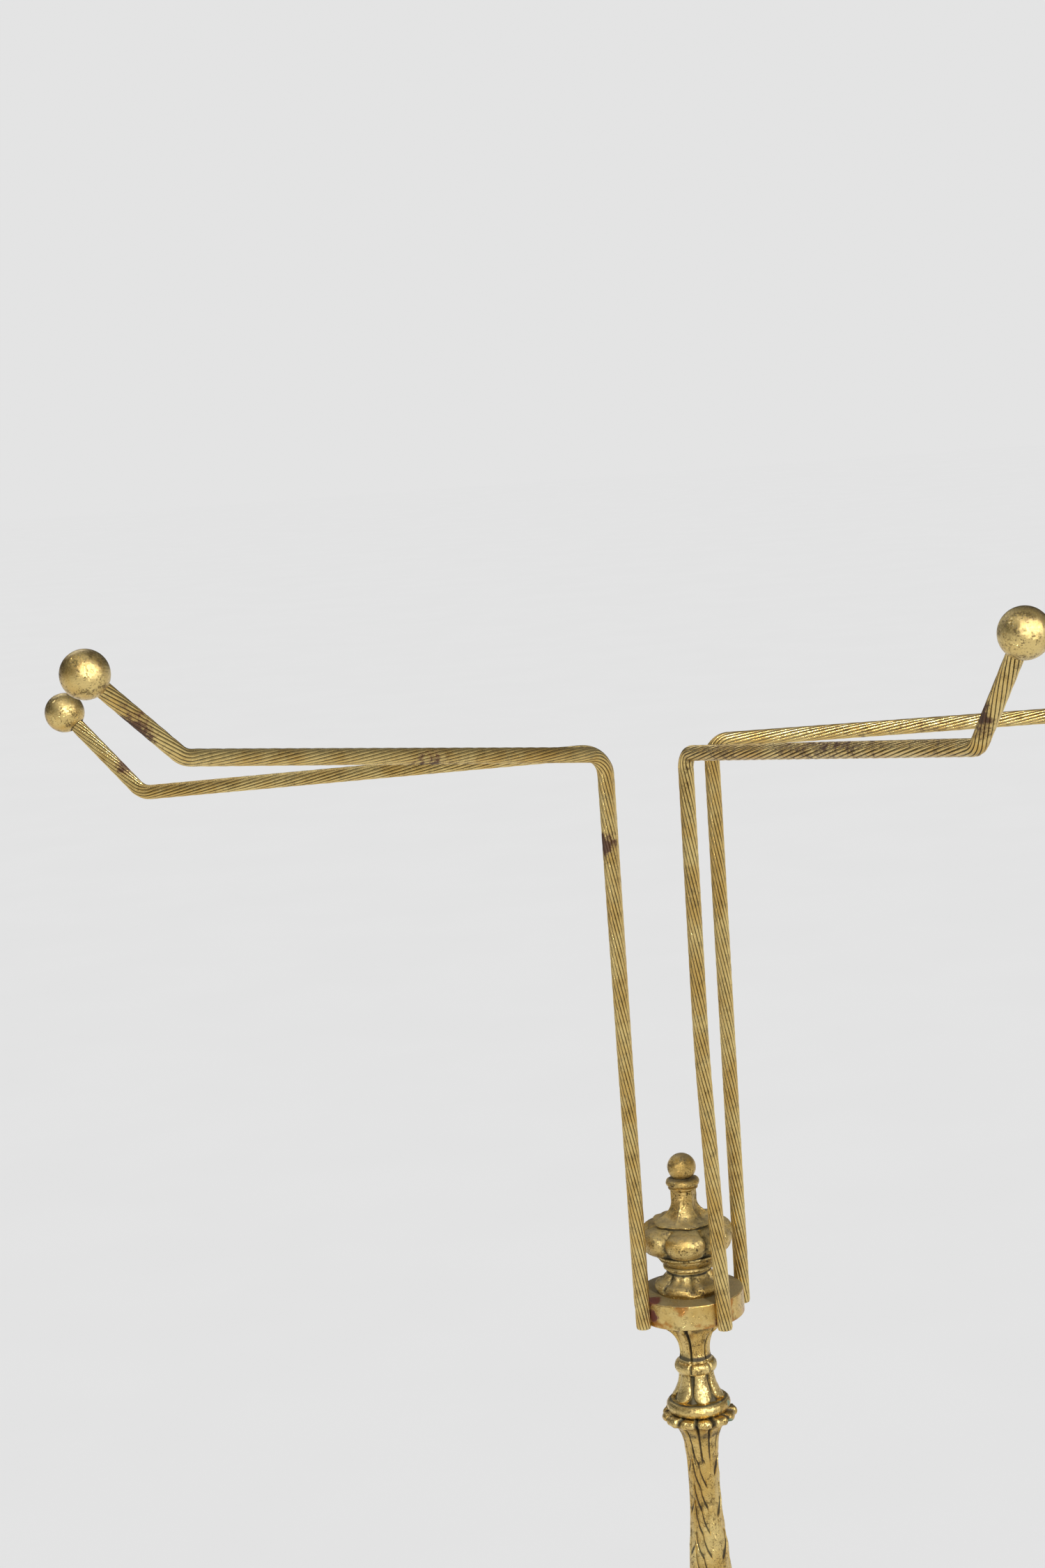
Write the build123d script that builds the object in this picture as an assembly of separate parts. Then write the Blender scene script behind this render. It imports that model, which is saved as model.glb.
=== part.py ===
from build123d import *
import math
import os

# Brass music stand: a cast tripod and stem with a rod-built head.
# Millimetres, +Z up, origin on the floor on the stem axis. The fan of arms opens towards -Y.

# ---------- driving dimensions ----------
HUB_TOP = 800.0  # top face of the disc that carries the arms
HUB_R = 27.8
HUB_THICK = 13.1
HUB_ROUND = 0.8  # rounding of the disc's edges

ROD_R = 4.0  # rope-twist rod of 8 mm
ROD_FOOT_R = 30.6  # circle on which the four rods stand in the disc's rim
ROD_FOOT_DROP = 0.8  # the rods end this far below the disc
BOW_R = 1500.0  # slight bow of a hand-straightened upright
UPRIGHT_RISE = 287.0  # disc top to the corner where a rod turns outwards
ARM_RUN = 264.0  # corner to corner
TIP_RUN = 62.2  # outer corner to ball centre
BALL_R = 10.9
BALL_SOCKET = 8.0  # depth of the rod in the ball

TIE_R = 4.0  # threaded rod that clamps the whole stack
RUNNING_GAP = 0.05  # radial clearance of what turns or is pressed on a rod
LOOSE_GAP = 0.3  # radial clearance of the castings on the tie rod
OVERSHOOT = 1.0  # how far a cut runs past the face it opens

# Each rod is bent by hand. Angles are in degrees and seen from above, counter-clockwise from +X.
# foot: place on the disc; lean: shift of the top corner; bow: shift at half height;
# run and rise: direction and slope of the long run; tip_run and tip_rise: the same for the tip;
# bends: centre-line radii of the upper and the outer bend.
ARMS = {
    "front_left": {
        "foot": 219.8, "lean": (1.6, 0.5), "bow": (0.0, 0.0), "lift": 1.3,
        "run": 233.4, "rise": 8.7, "tip_run": 231.1, "tip_rise": 43.1, "bends": (12.0, 12.5),
    },
    "back_left": {
        "foot": 156.6, "lean": (2.9, 0.2), "bow": (0.0, 0.0), "lift": -1.1,
        "run": 171.6, "rise": -3.1, "tip_run": 170.9, "tip_rise": 47.4, "bends": (12.0, 11.0),
    },
    "front_right": {
        "foot": 309.0, "lean": (0.2, 1.5), "bow": (-2.1, -0.3), "lift": 0.3,
        "run": 302.8, "rise": 6.1, "tip_run": 302.0, "tip_rise": 52.4, "bends": (6.5, 8.0),
    },
    "back_right": {
        "foot": 33.6, "lean": (3.7, 0.6), "bow": (0.0, 0.0), "lift": 0.1,
        "run": 11.4, "rise": -0.7, "tip_run": 11.4, "tip_rise": 51.3, "bends": (9.0, 11.0),
    },
}

LEG_COUNT = 3
LEG_FIRST = 90.0  # one leg points to the back, two stand under the fan of arms
LEG_THICK = 20.0
LEG_REACH = 271.0  # stem axis to the middle of the foot
TOE_R = 15.0
TOE_PAD_R = 8.0  # round seat under the toe
SCROLL_R = 13.0
BUN_H = 16.0
BUN_STUD_R = 3.0
BUN_STUD_H = 8.0
STUD_ROOM = 1.0  # space over the stud in its socket

HEX_FLAT = 34.0  # stem axis to a side of the six-sided base block
HEX_LOW = 88.0
HEX_HIGH = 168.0
HEX_CAVITY_R = 26.0
HEX_FLOOR = 10.0
SCREW_R = 3.0
SCREW_HEAD_R = 5.0
SCREW_HEAD_H = 4.0
SCREW_BITE = 13.0
SCREW_ROOM = 2.0  # space past the screw's end
SCREW_HEIGHTS = (116.0, 146.0)

WASHER_R = 10.0
WASHER_H = 1.6
NUT_FLAT = 6.5
NUT_H = 6.5
PENDANT_CAVITY_R = 12.0
PENDANT_H = 38.0
PENDANT_CAVITY_H = 12.0
TIE_FOOT_DROP = 22.0  # the tie rod's lower end, below the base block
TIE_HEAD_RISE = 50.0  # its upper end, above the disc
TIE_HEAD_ROOM = 1.5  # space over it in the finial
SPIGOT_H = 5.0  # step of the base dome that centres it in the base block

# Heights of the joints in the stack, above the floor.
DOME_TOP = 214.0
LOWER_KNOP_TOP = 240.0
LOWER_STEM_TOP = 530.0
UPPER_KNOP_TOP = 560.0
UPPER_STEM_TOP = 733.2
NECK_RING_TOP = 740.8
HUB_BOTTOM = HUB_TOP - HUB_THICK

# Outlines of the turned castings: (radius, height above the piece's own base, sagitta).
# A sagitta turns the step that ends there into an arc; positive bulges outwards.
BUN_OUTLINE = [
    (8.0, 0.0, 0), (8.0, 13.0, 4.6), (6.5, 13.0, 0), (6.5, BUN_H, 0),
]
PENDANT_OUTLINE = [
    (3.0, 0.0, 0), (7.5, 6.5, 1.8), (5.5, 11.0, -0.8), (17.0, 22.0, -2.0), (20.0, 32.0, 2.6),
    (24.0, 33.5, 0), (24.0, PENDANT_H, 0.8),
]
DOME_OUTLINE = [
    (40.0, 0.0, 0), (40.0, 6.0, 1.4), (35.0, 9.0, 0), (19.0, 30.0, -5.5), (19.0, 34.0, 1.2),
    (15.5, 37.0, 0), (15.5, 46.0, 0),
]
LOWER_KNOP_OUTLINE = [
    (16.5, 0.0, 0), (16.5, 4.0, 1.0), (15.0, 6.0, 0), (15.0, 20.0, 8.2), (16.5, 22.0, 0), (16.5, 26.0, 1.0),
]
LOWER_STEM_OUTLINE = [
    (15.0, 0.0, 0), (12.5, 14.0, -2.0), (23.0, 62.0, -5.0), (19.0, 112.0, 5.5), (11.5, 150.0, -3.2),
    (15.5, 153.0, 0), (15.5, 159.0, 1.6), (11.0, 162.0, 0), (9.2, 262.0, 0), (15.0, 286.0, -4.0),
    (15.0, 290.0, 1.0),
]
UPPER_KNOP_OUTLINE = [
    (14.5, 0.0, 0), (14.5, 4.0, 1.2), (12.5, 6.0, 0), (12.5, 24.0, 9.4), (14.5, 26.0, 0), (14.5, 30.0, 1.2),
]
UPPER_STEM_OUTLINE = [
    (14.0, 0.0, 0), (14.0, 5.0, 1.4), (10.5, 9.0, 0), (10.5, 14.0, 0), (17.0, 46.0, 1.5),
    (9.9, 97.0, -1.6), (8.4, 126.6, -0.4), (9.0, 140.0, -0.4), (11.4, 149.0, 0), (19.0, 169.0, -3.6),
    (18.6, 173.2, 0.8),
]
NECK_RING_OUTLINE = [
    (13.8, 0.0, 0), (13.8, 7.6, 3.3),
]
CAPITAL_OUTLINE = [
    (14.4, 0.0, 0), (9.2, 14.2, -1.2), (9.2, 20.6, 1.8), (8.6, 21.4, 0),
    (13.5, 38.0, -2.4), (17.4, 43.0, 0.6), (17.4, 46.1, 0),
]
FINIAL_FOOT_OUTLINE = [
    (17.7, 0.0, 0), (17.7, 1.6, 0), (17.0, 4.6, 0.4), (11.6, 9.6, -0.8), (11.6, 11.8, 0), (12.8, 14.5, 0.5),
]
FINIAL_BOWL_OUTLINE = [
    (12.0, 0.0, 0), (16.0, 4.0, 0), (16.4, 6.4, 0.7), (25.2, 12.6, 1.4), (20.0, 20.4, 2.6), (16.5, 20.9, 0),
]
FINIAL_CAP_OUTLINE = [
    (16.8, 0.0, 0), (16.8, 2.4, 0.5), (9.4, 7.6, -0.6), (6.9, 14.5, -0.9), (6.9, 19.6, 0),
    (8.4, 21.0, 0), (8.4, 25.0, 1.0), (5.0, 26.5, 0),
]
FINIAL_BALL_R = 7.35
FINIAL_BALL_RISE = 30.9  # ball centre above the cap's base
FINIAL_BOWL_RISE = 14.5
FINIAL_CAP_RISE = 35.4

# The leg's side view, as (distance from the stem axis, height).
LEG_UPPER_EDGE = [
    (HEX_FLAT, 160.0), (66.0, 168.0), (118.0, 146.0), (184.0, 88.0), (238.0, 53.0), (275.0, 45.5),
]
LEG_LOWER_EDGE = [
    (265.0, 17.5), (224.0, 41.0), (166.0, 79.0), (116.0, 116.0), (82.0, 131.0), (58.0, 108.0),
]
LEG_SCROLL_AT = (52.0, 112.0)


def outline_edges(outline):
    """Lines and arcs through the steps of an outline."""
    edges = []
    for (r0, z0, _), (r1, z1, sagitta) in zip(outline, outline[1:]):
        if sagitta:
            edges.append(SagittaArc((r0, z0), (r1, z1), -sagitta))
        else:
            edges.append(Line((r0, z0), (r1, z1)))
    return edges


def turned(outline, bore_r, base=0.0):
    """Solid of revolution about the stem axis, bored right through where bore_r isn't 0."""
    edges = outline_edges(outline)
    r_low, z_low, _ = outline[0]
    r_high, z_high, _ = outline[-1]
    edges.append(Line((r_high, z_high), (bore_r, z_high)))
    edges.append(Line((bore_r, z_high), (bore_r, z_low)))
    edges.append(Line((bore_r, z_low), (r_low, z_low)))
    solid = revolve(Plane.XZ * make_face(edges), axis=Axis.Z)
    return Pos(0, 0, base) * solid


def standing_cylinder(radius, height):
    """Cylinder that stands on the origin."""
    return Cylinder(radius, height, align=(Align.CENTER, Align.CENTER, Align.MIN))


def upright_cylinder(radius, low, high):
    """Cylinder on the stem axis between two heights."""
    return Pos(0, 0, low) * standing_cylinder(radius, high - low)


def outward_cylinder(radius, start, length, height):
    """Cylinder that lies along +X, from a distance to the stem axis and at a height."""
    return Pos(start, 0, height) * Rot(0, 90, 0) * standing_cylinder(radius, length)


def heading(azimuth, rise):
    """Unit vector of a direction seen from above and its slope."""
    a = math.radians(azimuth)
    e = math.radians(rise)
    return Vector(math.cos(a) * math.cos(e), math.sin(a) * math.cos(e), math.sin(e))


# ---------- head ----------
def arm_corners(arm):
    """Foot, half height, upper corner, outer corner and ball centre of one rod."""
    foot = heading(arm["foot"], 0) * ROD_FOOT_R + Vector(0, 0, HUB_BOTTOM - ROD_FOOT_DROP)
    lean = Vector(*arm["lean"], HUB_TOP + UPRIGHT_RISE + arm["lift"] - foot.Z)
    top = foot + lean
    middle = foot + lean * 0.5 + Vector(*arm["bow"], 0)
    elbow = top + heading(arm["run"], arm["rise"]) * ARM_RUN
    ball = elbow + heading(arm["tip_run"], arm["tip_rise"]) * TIP_RUN
    return foot, middle, top, elbow, ball


def arm_rod(arm):
    """One bent rod, from its foot in the disc to its end inside the ball."""
    foot, middle, top, elbow, ball = arm_corners(arm)
    end = ball - (ball - elbow).normalized() * (BALL_R - BALL_SOCKET)
    if any(arm["bow"]):
        path = FilletPolyline(foot, middle, top, elbow, end, radius=[BOW_R, *arm["bends"]])
    else:
        path = FilletPolyline(foot, top, elbow, end, radius=[*arm["bends"]])
    section = Plane(origin=path @ 0, z_dir=path % 0) * Circle(ROD_R)
    return sweep(section, path=path)


def ball_tip(arm):
    """Ball with a blind socket for the end of the rod."""
    _, _, _, elbow, ball = arm_corners(arm)
    socket = Pos(0, 0, BALL_R - BALL_SOCKET) * standing_cylinder(ROD_R + RUNNING_GAP, 2 * BALL_R)
    return Plane(origin=ball, z_dir=elbow - ball) * (Sphere(BALL_R) - socket)


def hub_disc():
    """Disc with four rim notches that follow the rods, bored for the tie rod."""
    disc = upright_cylinder(HUB_R, HUB_BOTTOM, HUB_TOP)
    disc = fillet(disc.edges().filter_by(GeomType.CIRCLE), HUB_ROUND)
    disc -= upright_cylinder(TIE_R + RUNNING_GAP, HUB_BOTTOM - OVERSHOOT, HUB_TOP + OVERSHOOT)
    for arm in ARMS.values():
        foot, middle, _, _, _ = arm_corners(arm)
        notch = Cylinder(ROD_R + RUNNING_GAP, 4 * HUB_THICK)
        disc -= Plane(origin=foot, z_dir=middle - foot) * notch
    return disc


def finial_cap():
    """Neck and ball, tapped blind for the tie rod's upper end."""
    cap = turned(FINIAL_CAP_OUTLINE, 0, HUB_TOP + FINIAL_CAP_RISE)
    cap += Pos(0, 0, HUB_TOP + FINIAL_CAP_RISE + FINIAL_BALL_RISE) * Sphere(FINIAL_BALL_R)
    return cap - upright_cylinder(TIE_R + RUNNING_GAP, HUB_TOP, HUB_TOP + TIE_HEAD_RISE + TIE_HEAD_ROOM)


# ---------- base ----------
def leg(azimuth):
    """Cast scroll leg: an S-shaped web with a rolled toe and a scroll under its root."""
    upper = Spline(*LEG_UPPER_EDGE)
    lower = Spline(*LEG_LOWER_EDGE)
    root_low = (HEX_FLAT, LEG_LOWER_EDGE[-1][1])
    edges = [
        upper,
        Line(LEG_UPPER_EDGE[-1], LEG_LOWER_EDGE[0]),
        lower,
        Line(LEG_LOWER_EDGE[-1], root_low),
        Line(root_low, LEG_UPPER_EDGE[0]),
    ]
    web = extrude(Plane.XZ * make_face(edges), LEG_THICK / 2, both=True)
    toe_z = BUN_H + TOE_R
    web += Pos(LEG_REACH, 0, toe_z) * Rot(90, 0, 0) * Cylinder(TOE_R, LEG_THICK)
    web += Pos(LEG_SCROLL_AT[0], 0, LEG_SCROLL_AT[1]) * Rot(90, 0, 0) * Cylinder(SCROLL_R, LEG_THICK)
    web += Pos(LEG_REACH, 0, BUN_H) * standing_cylinder(TOE_PAD_R, TOE_R)
    web -= Pos(LEG_REACH, 0, BUN_H) * standing_cylinder(BUN_STUD_R + RUNNING_GAP, BUN_STUD_H + STUD_ROOM)
    for height in SCREW_HEIGHTS:
        web -= outward_cylinder(SCREW_R + RUNNING_GAP, HEX_FLAT - OVERSHOOT, SCREW_BITE + SCREW_ROOM, height)
    return Rot(0, 0, azimuth) * web


def bun_foot(azimuth):
    """Flattened ball foot with a stud that enters the toe."""
    bun = turned(BUN_OUTLINE, 0) + upright_cylinder(BUN_STUD_R, 0, BUN_H + BUN_STUD_H)
    return Rot(0, 0, azimuth) * Pos(LEG_REACH, 0, 0) * bun


def leg_screw(azimuth, height):
    """Screw driven outwards from inside the base block into a leg."""
    seat = math.sqrt(HEX_CAVITY_R**2 - SCREW_HEAD_R**2)
    under = seat - SCREW_HEAD_H
    shank = outward_cylinder(SCREW_R, under, HEX_FLAT + SCREW_BITE - under, height)
    head = outward_cylinder(SCREW_HEAD_R, under, SCREW_HEAD_H, height)
    return Rot(0, 0, azimuth) * (shank + head)


def base_block(azimuths):
    """Six-sided hollow block that the legs are screwed to, with a floor for the tie rod's nut."""
    block = Pos(0, 0, HEX_LOW) * extrude(RegularPolygon(HEX_FLAT, 6, major_radius=False), HEX_HIGH - HEX_LOW)
    block -= upright_cylinder(HEX_CAVITY_R, HEX_LOW + HEX_FLOOR, HEX_HIGH + OVERSHOOT)
    block -= upright_cylinder(TIE_R + LOOSE_GAP, HEX_LOW - OVERSHOOT, HEX_HIGH)
    for azimuth in azimuths:
        for height in SCREW_HEIGHTS:
            block -= Rot(0, 0, azimuth) * outward_cylinder(SCREW_R + RUNNING_GAP, TIE_R, HEX_FLAT, height)
    return block


def pendant():
    """Turned drop that hides the nut and screws on to the tie rod's lower end."""
    drop = turned(PENDANT_OUTLINE, 0, HEX_LOW - PENDANT_H)
    drop -= upright_cylinder(PENDANT_CAVITY_R, HEX_LOW - PENDANT_CAVITY_H, HEX_LOW + OVERSHOOT)
    return drop - upright_cylinder(TIE_R + RUNNING_GAP, HEX_LOW - TIE_FOOT_DROP - OVERSHOOT, HEX_LOW)


def tie_nut():
    """Hexagon nut on the tie rod's lower end."""
    low = HEX_LOW - WASHER_H - NUT_H
    nut = Pos(0, 0, low) * extrude(RegularPolygon(NUT_FLAT, 6, major_radius=False), NUT_H)
    return nut - upright_cylinder(TIE_R + RUNNING_GAP, low - OVERSHOOT, HEX_LOW)


def tie_washer():
    """Flat washer between the nut and the base block."""
    low = HEX_LOW - WASHER_H
    ring = upright_cylinder(WASHER_R, low, HEX_LOW)
    return ring - upright_cylinder(TIE_R + LOOSE_GAP, low - OVERSHOOT, HEX_LOW + OVERSHOOT)


def base_dome():
    """Bell that closes the base block and carries the stem."""
    low = HEX_HIGH - SPIGOT_H
    spigot = upright_cylinder(HEX_CAVITY_R - LOOSE_GAP, low, HEX_HIGH)
    spigot -= upright_cylinder(TIE_R + LOOSE_GAP, low - OVERSHOOT, HEX_HIGH + OVERSHOOT)
    return turned(DOME_OUTLINE, TIE_R + LOOSE_GAP, HEX_HIGH) + spigot


def stack_nodes():
    """Castings threaded on the tie rod, from the base up."""
    loose = TIE_R + LOOSE_GAP
    running = TIE_R + RUNNING_GAP
    return {
        "base_dome": base_dome(),
        "lower_knop": turned(LOWER_KNOP_OUTLINE, loose, DOME_TOP),
        "lower_stem": turned(LOWER_STEM_OUTLINE, loose, LOWER_KNOP_TOP),
        "upper_knop": turned(UPPER_KNOP_OUTLINE, loose, LOWER_STEM_TOP),
        "upper_stem": turned(UPPER_STEM_OUTLINE, loose, UPPER_KNOP_TOP),
        "neck_ring": turned(NECK_RING_OUTLINE, loose, UPPER_STEM_TOP),
        "capital": turned(CAPITAL_OUTLINE, loose, NECK_RING_TOP),
        "hub_disc": hub_disc(),
        "finial_foot": turned(FINIAL_FOOT_OUTLINE, running, HUB_TOP),
        "finial_bowl": turned(FINIAL_BOWL_OUTLINE, running, HUB_TOP + FINIAL_BOWL_RISE),
        "finial_cap": finial_cap(),
    }


def base_nodes():
    """Legs, feet and what holds them together."""
    azimuths = [LEG_FIRST + 360.0 / LEG_COUNT * i for i in range(LEG_COUNT)]
    nodes = {
        "base_block": base_block(azimuths),
        "pendant": pendant(),
        "tie_nut": tie_nut(),
        "tie_washer": tie_washer(),
        "tie_rod": upright_cylinder(TIE_R, HEX_LOW - TIE_FOOT_DROP, HUB_TOP + TIE_HEAD_RISE),
        "leg_screws": Compound([leg_screw(a, z).solid() for a in azimuths for z in SCREW_HEIGHTS]),
    }
    for i, azimuth in enumerate(azimuths, start=1):
        nodes[f"leg_{i}"] = leg(azimuth)
        nodes[f"bun_foot_{i}"] = bun_foot(azimuth)
    return nodes


def arm_nodes():
    """The four bent rods and their balls."""
    nodes = {}
    for name, arm in ARMS.items():
        nodes[f"arm_rod_{name}"] = arm_rod(arm)
        nodes[f"ball_tip_{name}"] = ball_tip(arm)
    return nodes


def main():
    """Write one STEP file for each piece."""
    os.makedirs("parts", exist_ok=True)
    for name, solid in {**base_nodes(), **stack_nodes(), **arm_nodes()}.items():
        export_step(solid, f"parts/{name}.step")
        print(name, round(solid.volume))


main()
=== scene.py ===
import math

import bpy
import numpy as np
from mathutils import Matrix, Vector


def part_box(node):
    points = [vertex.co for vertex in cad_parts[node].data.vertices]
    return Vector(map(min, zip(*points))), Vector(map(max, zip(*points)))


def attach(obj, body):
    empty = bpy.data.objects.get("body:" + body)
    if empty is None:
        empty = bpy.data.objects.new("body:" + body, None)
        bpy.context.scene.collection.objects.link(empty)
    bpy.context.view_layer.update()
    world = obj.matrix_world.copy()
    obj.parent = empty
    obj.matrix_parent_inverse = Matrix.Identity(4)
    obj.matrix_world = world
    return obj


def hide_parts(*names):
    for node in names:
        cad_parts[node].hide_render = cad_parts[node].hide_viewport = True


# Looks of the brass music stand. Lengths are in millimetres until a mesh is made, and angles in
# degrees counter-clockwise from +X, seen from above.

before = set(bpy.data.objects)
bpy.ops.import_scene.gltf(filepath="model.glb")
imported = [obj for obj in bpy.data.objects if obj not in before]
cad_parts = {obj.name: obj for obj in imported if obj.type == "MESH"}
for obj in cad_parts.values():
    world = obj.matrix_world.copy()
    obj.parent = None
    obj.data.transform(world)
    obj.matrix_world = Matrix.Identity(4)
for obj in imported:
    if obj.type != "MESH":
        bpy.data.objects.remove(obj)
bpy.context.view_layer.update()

MM = 0.001

# ---------- sizes shared by several pieces ----------
HUB_TOP = 800.0
HUB_THICK = 13.1
ROD_R = 4.0
ROD_FOOT_R = 30.6  # distance of a rod's foot from the stand's axis
ROD_FOOT_DROP = 0.8  # how far a foot ends below the disc
UPRIGHT_RISE = 287.0
ARM_RUN = 264.0
TIP_RUN = 62.2
BALL_R = 10.9
BALL_SOCKET = 8.0  # depth of the hole for the rod
SOCKET_PLAY, MOUTH_PLAY = 0.1, 0.15  # room round the rod in the hole and at its mouth
TIE_R = 4.0
TIE_BORE_R = TIE_R + 0.3
FINIAL_BORE_R = TIE_R + 0.1

STRANDS = 13
TWIST_LEAD = 110.0  # length of one turn of the rope twist
STRAND_R = 1.03  # rounding of one strand, a little over half its width
STRAND_SAMPLES = 8  # points round one strand
ROPE_STEP = 1.0  # length between two rings of a rod's mesh
ROPE_INSET = 0.05  # rope and balls are drawn this much inside the CAD's surface
BOW_R = 1500.0  # bend radius of an upright that bows
END_TRIM = 0.5  # length over which a rod's end is broken
DENTS = 40  # small dents of use on each ball
DENT_SEED = 11  # of the first ball; each next ball adds one

PETAL_AT = 290.4  # middle of one of the six leaves on the capital
PARTING_AT = 302.4  # casting seam, repeated on the far side
MELON_VALLEY_AT = 303.4  # one of the six valleys of the finial's melon
FOOT_VALLEY_AT = 281.4  # one of the six valleys of the finial's foot
NECK_EDGE_AT = 254.4  # one of the six edges of the finial's neck
LEAF_PITCH = 60.0  # six leaves, petals or lobes round a casting
GADROON_PITCH = 30.0  # twelve flutes or gadroons
KNOP_PITCH = 22.5  # sixteen slanted gadroons
BUD_PITCH = 45.0  # eight lobes
SKIN_DEPTH = 0.12  # unevenness of a cast surface
SHARP_ANGLE = 50  # edges sharper than this aren't smoothed

# foot: azimuth of the rod's foot. lean: how far the upright's top stands off its foot in x and y. bow: how
# far its middle does besides. lift: height over the usual rise. run and rise: direction of the arm. tip_run
# and tip_rise: direction of the tip. bends: radii of the upper and outer bend. The last entry holds brown
# stains, and on back_right long stretches of painted shade, as (millimetres from the foot, half length,
# strength).
ARMS = {
    "front_left": {
        "foot": 219.8, "lean": (1.6, 0.5), "bow": (0.0, 0.0), "lift": 1.3,
        "run": 233.4, "rise": 8.7, "tip_run": 231.1, "tip_rise": 43.1, "bends": (12.0, 12.5),
        "stains_and_shade": [(257.0, 9.0, 0.82), (396.0, 8.0, 0.6), (420.0, 16.0, 0.75), (590.0, 14.0, 0.95)],
    },
    "back_left": {
        "foot": 156.6, "lean": (2.9, 0.2), "bow": (0.0, 0.0), "lift": -1.1,
        "run": 171.6, "rise": -3.1, "tip_run": 170.9, "tip_rise": 47.4, "bends": (12.0, 11.0),
        "stains_and_shade": [(420.0, 90.0, 0.18), (575.0, 9.0, 0.75), (605.0, 8.0, 0.6)],
    },
    "front_right": {
        "foot": 309.0, "lean": (0.2, 1.5), "bow": (-2.1, -0.3), "lift": 0.3,
        "run": 302.8, "rise": 6.1, "tip_run": 302.0, "tip_rise": 52.4, "bends": (9.0, 8.0),
        "stains_and_shade": [
            (300.0, 26.0, 0.42), (345.0, 30.0, 0.5), (440.0, 70.0, 0.6), (530.0, 50.0, 0.58),
            (578.0, 12.0, 0.75),
        ],
    },
    "back_right": {
        "foot": 33.6, "lean": (3.7, 0.6), "bow": (0.0, 0.0), "lift": 0.1,
        "run": 11.4, "rise": -0.7, "tip_run": 11.4, "tip_rise": 51.3, "bends": (9.0, 11.0),
        # painted shade: these two long brown stretches darken the arm where the key light falls full on it
        "stains_and_shade": [(400.0, 90.0, 0.42), (540.0, 60.0, 0.42)],
    },
}


# ---------- small maths ----------
def heading(azimuth, rise):
    """Unit vector of a direction seen from above and its slope."""
    a, e = math.radians(azimuth), math.radians(rise)
    return np.array([math.cos(a) * math.cos(e), math.sin(a) * math.cos(e), math.sin(e)])


def around(angle, period):
    """Signed distance to the nearest multiple of a period."""
    return (angle + period / 2) % period - period / 2


def ramp(low, high, x):
    """Smooth step from 0 at low to 1 at high; low may be the larger."""
    t = np.clip((x - low) / (high - low), 0, 1)
    return t * t * (3 - 2 * t)


def band(x, low, full_from, full_to, high):
    """1 between the inner two values, fading smoothly to 0 at the outer two."""
    return ramp(low, full_from, x) * ramp(high, full_to, x)


def bell(x, width):
    """Gaussian of height 1."""
    return np.exp(-((x / width) ** 2))


def round_back(share):
    """Height of a half circle: 1 in the middle, 0 where share reaches -1 or 1."""
    return np.sqrt(np.clip(1 - share**2, 0, 1))


def lobe_lines(angle, at, pitch):
    """Signed distance in degrees from the middle of the nearest lobe, and distance from the lobe's edge."""
    off = around(angle - at, pitch)
    return off, pitch / 2 - np.abs(off)


def lumps(points, size, seed):
    """Smooth random unevenness between about -1 and 1, with lumps of a given size."""
    lattice = np.random.default_rng(seed).uniform(-1, 1, (32, 32, 32))
    scaled = np.asarray(points) / size
    cell = np.floor(scaled).astype(int)
    part = scaled - cell
    part = part * part * (3 - 2 * part)
    total = 0.0
    for corner in np.ndindex(2, 2, 2):
        weight = np.prod([part[..., k] if corner[k] else 1 - part[..., k] for k in range(3)], axis=0)
        total = total + weight * lattice[tuple((cell[..., k] + corner[k]) % 32 for k in range(3))]
    return total


def cast_skin(points, depth, seed):
    """Unevenness of a sand casting: shallow lumps, grain and a few pits."""
    grain = 0.5 * lumps(points, 1.5, seed) + 0.3 * lumps(points, 0.8, seed + 1)
    pit = np.clip(lumps(points, 1.1, seed + 2) - 0.45, 0, None)
    return depth * (0.9 * lumps(points, 4.0, seed + 3) + grain - 2.5 * pit)


# ---------- meshes ----------
def add_piece(name, points, faces, body, material, node=None, recess=None, stain_and_shade=None):
    """Makes a smooth mesh from points in millimetres and lets it ride on a body."""
    mesh = bpy.data.meshes.new(name)
    mesh.from_pydata((np.asarray(points) * MM).tolist(), [], [tuple(int(i) for i in f) for f in faces])
    mesh.validate()
    for key, values in (("recess", recess), ("stain_and_shade", stain_and_shade)):
        layer = mesh.attributes.new(key, "FLOAT", "POINT")
        if values is not None:
            layer.data.foreach_set("value", np.asarray(values, np.float32).ravel())
    mesh.shade_smooth()
    mesh.set_sharp_from_angle(angle=math.radians(SHARP_ANGLE))
    piece = bpy.data.objects.new(name, mesh)
    bpy.context.scene.collection.objects.link(piece)
    mesh.materials.append(material)
    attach(piece, body)
    if node:
        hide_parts(node)
    return piece


def grid_faces(rows, columns, close_rows=False):
    """Quads of a grid whose columns go round; close_rows joins the last row to the first."""
    index = np.arange(rows * columns).reshape(rows, columns)
    if close_rows:
        index = np.vstack([index, index[:1]])
    right = np.roll(index, -1, axis=1)
    return np.stack([index[:-1], right[:-1], right[1:], index[1:]], axis=-1).reshape(-1, 4).tolist()


def capped_tube(rings):
    """Points and faces of a closed tube from an array of rings (rows, columns, 3)."""
    rows, columns, _ = rings.shape
    faces = grid_faces(rows, columns)
    points = np.vstack([rings.reshape(-1, 3), rings[0].mean(0), rings[-1].mean(0)])
    first, last = rows * columns, rows * columns + 1
    top = (rows - 1) * columns
    for i in range(columns):
        j = (i + 1) % columns
        faces.append([first, j, i])
        faces.append([last, top + i, top + j])
    return points, faces


def joined(shells):
    """One mesh from several (points, faces, recess) shells."""
    points, faces, recess = [], [], []
    for own_points, own_faces, own_recess in shells:
        start = sum(len(p) for p in points)
        points.append(own_points)
        faces.extend([start + int(i) for i in face] for face in own_faces)
        recess.append(own_recess)
    return np.vstack(points), faces, np.concatenate(recess)


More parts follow.
